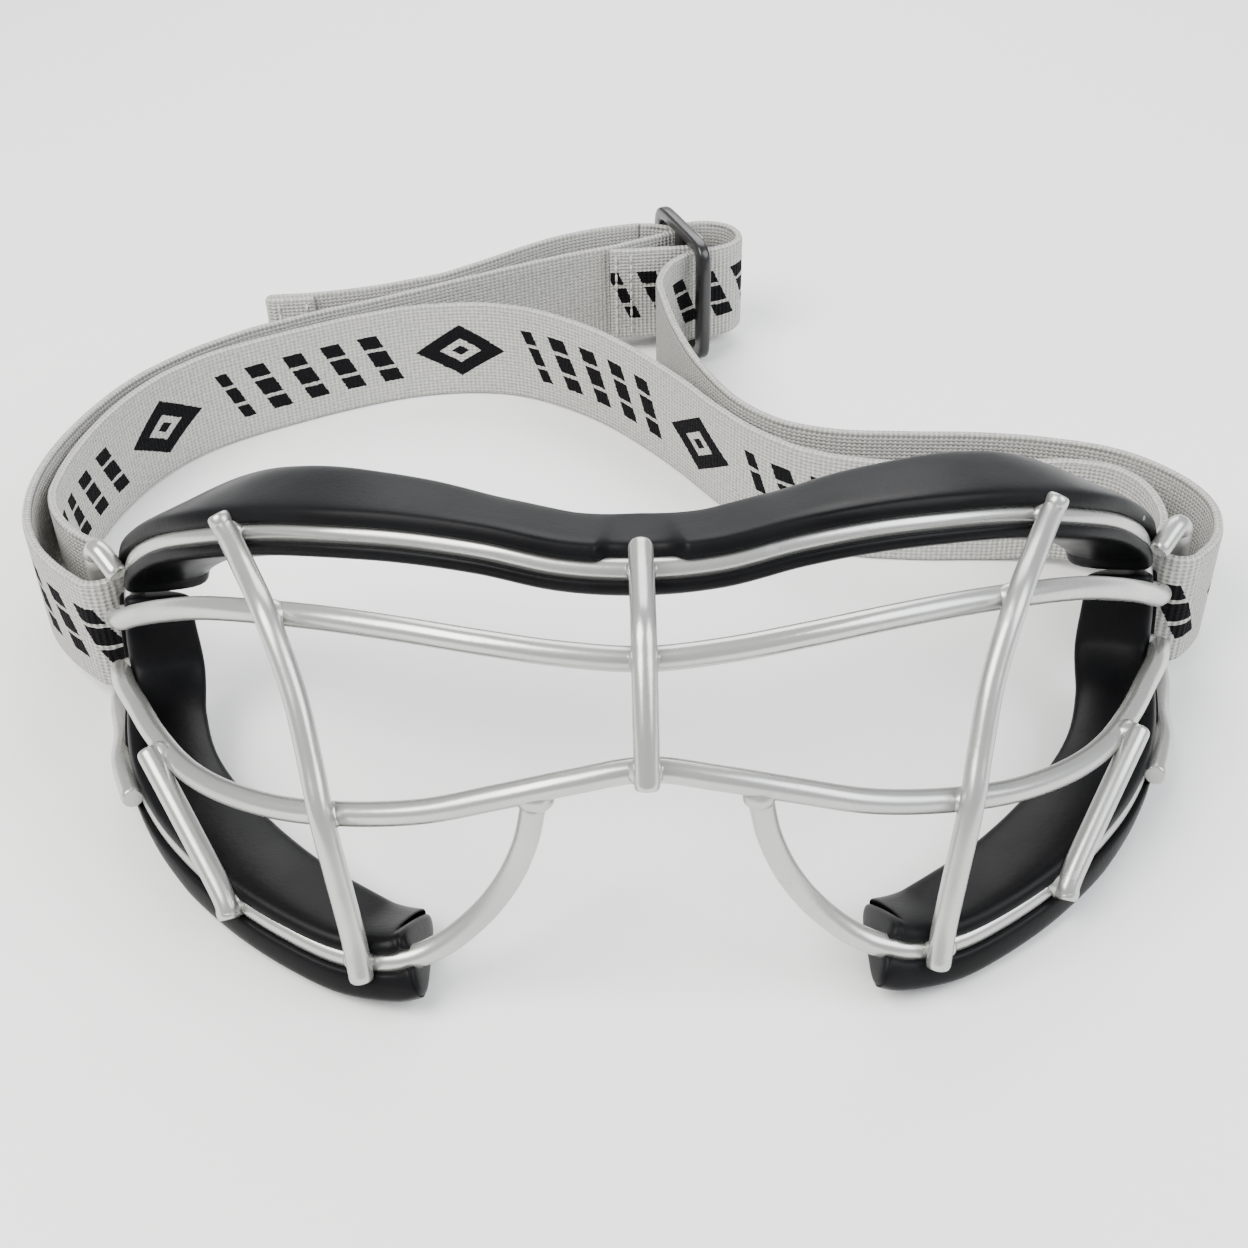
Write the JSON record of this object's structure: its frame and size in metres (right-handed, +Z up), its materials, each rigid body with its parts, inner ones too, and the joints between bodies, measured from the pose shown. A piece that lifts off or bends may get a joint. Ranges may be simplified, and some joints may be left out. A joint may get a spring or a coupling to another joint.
{
  "type": "sports protective goggles",
  "caption": "Wire-cage sports goggles with moulded rubber brow and cheek pads and an elastic webbing strap that doubles back through a plastic slider.",
  "frame": {"origin": "on the table under the middle of the whole object's box, lying on its cheek pads and the strap's lower edge", "axes": "+Z up from the table, +Y from the cage towards the back of the strap, +X to the wearer's left as seen from the front of the cage on the right"},
  "size_m": [0.1906, 0.1914, 0.0525],
  "materials": {
    "coated_wire": "satin",
    "pad_rubber": "satin",
    "elastic_webbing": "woven",
    "thread": "woven",
    "slider_plastic": "semi-gloss"
  },
  "bodies": {
    "cage": {"frame_wire": "coated_wire", "upper_crossbar": "coated_wire", "lower_crossbar": "coated_wire", "centre_bar": "coated_wire", "left_side_bar": "coated_wire", "right_side_bar": "coated_wire", "left_cheek_strut": "coated_wire", "right_cheek_strut": "coated_wire", "left_strap_bar": "coated_wire", "right_strap_bar": "coated_wire", "weld_beads": "coated_wire", "brow_pad": "pad_rubber", "left_cheek_pad": "pad_rubber", "right_cheek_pad": "pad_rubber"},
    "strap": {"strap_back_band": "elastic_webbing", "strap_left_loop": "elastic_webbing", "strap_right_loop": "elastic_webbing", "strap_left_band": "elastic_webbing", "strap_right_band": "elastic_webbing", "strap_end_fold": "elastic_webbing", "strap_adjusting_loop": "elastic_webbing", "end_stitching": "thread"},
    "slider": {"slider": "slider_plastic"},
    "tail": {"strap_tail": "elastic_webbing", "tail_hem": "elastic_webbing", "hem_stitching": "thread"}
  },
  "joints": [
    {"name": "strap_tilt", "type": "hinge", "parent": "cage", "child": "strap", "pos_m": [0, -0.02773, 0.014], "axis": [1, 0, 0], "range_deg": [-6, 6]},
    {"name": "slider_rock", "type": "hinge", "parent": "strap", "child": "slider", "pos_m": [0.01565, 0.08357, 0.0132], "axis": [0, 0, 1], "range_deg": [-12, 6]},
    {"name": "tail_swing", "type": "hinge", "parent": "strap", "child": "tail", "pos_m": [0.00597, 0.09064, 0.0132], "axis": [0, 0, -1], "range_deg": [0, 70]}
  ]
}
